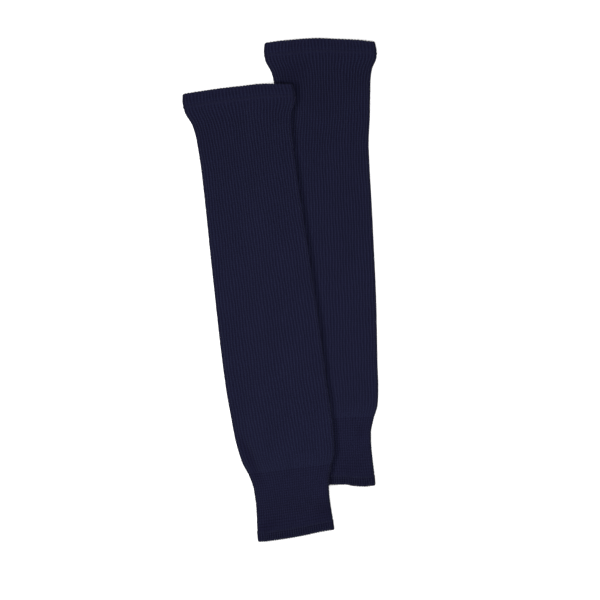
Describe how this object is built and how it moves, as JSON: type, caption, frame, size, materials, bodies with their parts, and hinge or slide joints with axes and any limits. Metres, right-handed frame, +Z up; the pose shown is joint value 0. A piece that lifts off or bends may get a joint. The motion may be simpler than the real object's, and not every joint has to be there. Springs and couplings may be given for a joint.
{
  "type": "pair of knitted ice hockey socks",
  "caption": "Pair of footless knitted ice hockey socks in navy, laid flat and overlapping, with turned thigh hems and narrow ribbed ankle cuffs.",
  "frame": {"origin": "middle of the pair's outline, on the surface that the socks lie on", "axes": "+Y towards the thigh ends, +Z up from the surface, +X towards the right sock"},
  "size_m": [0.3088, 0.7901, 0.0336],
  "materials": {
    "knit": "matte ribbed knit",
    "thread": "matte stitching thread"
  },
  "bodies": {
    "right_sock": {"right_thigh_band": "knit", "right_thigh_band_facing": "knit", "right_thigh_band_stitching": "thread", "right_leg_tube": "knit", "right_ankle_cuff": "knit", "right_ankle_hem": "knit", "right_ankle_hem_facing": "knit", "right_ankle_hem_stitching": "thread", "right_back_seam": "thread"},
    "left_sock": {"left_thigh_band": "knit", "left_thigh_band_facing": "knit", "left_thigh_band_stitching": "thread", "left_leg_tube": "knit", "left_ankle_cuff": "knit", "left_ankle_hem": "knit", "left_ankle_hem_facing": "knit", "left_ankle_hem_stitching": "thread", "left_back_seam": "thread"}
  },
  "joints": [
    {"name": "left_sock_lift", "type": "slide", "parent": "right_sock", "child": "left_sock", "axis": [0, 0, 1], "range_m": [0, 0.3]}
  ]
}
